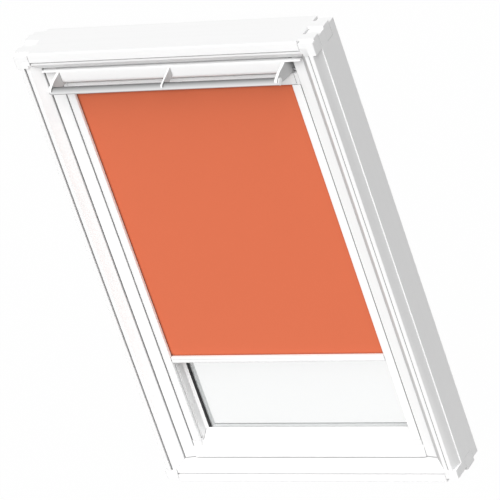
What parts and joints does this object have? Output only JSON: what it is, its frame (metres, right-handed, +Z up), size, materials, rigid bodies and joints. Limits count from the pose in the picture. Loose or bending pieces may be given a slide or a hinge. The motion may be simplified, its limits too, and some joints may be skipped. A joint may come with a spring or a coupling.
{
  "type": "roof window with roller blind",
  "caption": "Centre-pivot roof window with a white timber frame, ventilation flap and control bar, and a part-drawn blackout roller blind in side channels.",
  "frame": {"origin": "middle of the sill's underside, halfway through the window's depth without its control bar", "axes": "+X to the right seen from the room, +Y outwards to the roof side, +Z up the window's slope"},
  "size_m": [0.78, 0.1543, 1.178],
  "materials": {
    "white_lacquer": "white lacquered laminated wood",
    "cladding": "grey coated sheet",
    "steel": "zinc plated",
    "rubber": "matt black seal",
    "white_plastic": "satin moulded",
    "white_aluminium": "white coated",
    "satin_aluminium": "satin anodised",
    "clear_glass": "clear",
    "orange_fabric": "plain woven blackout cloth",
    "spacer_metal": "mill aluminium"
  },
  "bodies": {
    "frame": {"frame_head": "white_lacquer", "frame_sill": "white_lacquer", "frame_post_left": "white_lacquer", "frame_post_right": "white_lacquer", "head_cover": "cladding", "sill_cover": "cladding", "side_cover_left": "cladding", "side_cover_right": "cladding", "pivot_pin_plate_left": "steel", "pivot_pin_plate_right": "steel", "striker_plate": "steel"},
    "sash": {"sash_top_rail": "white_lacquer", "sash_bottom_rail": "white_lacquer", "sash_stile_left": "white_lacquer", "sash_stile_right": "white_lacquer", "sash_seal": "rubber", "inner_pane": "clear_glass", "outer_pane": "clear_glass", "pane_spacer": "spacer_metal", "glazing_gasket": "rubber", "sash_cover_top": "cladding", "sash_cover_bottom": "cladding", "sash_cover_left": "cladding", "sash_cover_right": "cladding", "pivot_bush_plate_left": "steel", "pivot_bush_plate_right": "steel", "lock_case": "steel", "flap_pin_left": "steel", "flap_pin_right": "steel", "blind_casing": "white_aluminium", "casing_end_left": "white_plastic", "casing_end_right": "white_plastic", "side_channel_left": "white_aluminium", "side_channel_right": "white_aluminium", "channel_foot_left": "white_plastic", "channel_foot_right": "white_plastic", "blackout_fabric": "orange_fabric", "spring_mandrel": "steel"},
    "flap": {"vent_flap": "white_aluminium", "flap_seal": "rubber", "bar_bracket_left": "white_plastic", "bar_bracket_middle": "white_plastic", "bar_bracket_right": "white_plastic", "control_bar": "satin_aluminium", "bar_cap_left": "white_plastic", "bar_cap_right": "white_plastic"},
    "latch": {"latch_bolt": "steel"},
    "roller": {"roller_tube": "satin_aluminium", "fabric_roll": "orange_fabric", "spring_plug": "white_plastic", "idle_plug": "white_plastic", "roller_spring": "steel"},
    "blind_bar": {"bottom_bar": "white_aluminium", "clamp_strip": "white_plastic", "bar_glide_left": "white_plastic", "bar_glide_right": "white_plastic"}
  },
  "joints": [
    {"name": "sash_pivot", "type": "hinge", "parent": "frame", "child": "sash", "pos_m": [0, 0.00325, 0.589], "axis": [1, 0, 0], "range_deg": [0, 160]},
    {"name": "flap_hinge", "type": "hinge", "parent": "sash", "child": "flap", "pos_m": [0, -0.01925, 1.0905], "axis": [1, 0, 0], "range_deg": [0, 25]},
    {"name": "latch_slide", "type": "slide", "parent": "sash", "child": "latch", "axis": [0, 0, -1], "range_m": [0, 0.006]},
    {"name": "blind_slide", "type": "slide", "parent": "sash", "child": "blind_bar", "axis": [0, 0, 1], "range_m": [-0.217, 0.711], "deforming": ["blackout_fabric"]},
    {"name": "roller_spin", "type": "hinge", "parent": "sash", "child": "roller", "pos_m": [0, -0.00425, 1.06525], "axis": [1, 0, 0], "range_deg": [-3450, 1100]}
  ],
  "couplings": [
    {"joint": "latch_slide", "follows": "flap_hinge", "m_per_rad": 0.01375},
    {"joint": "roller_spin", "follows": "blind_slide", "rad_per_m": -84.034}
  ]
}
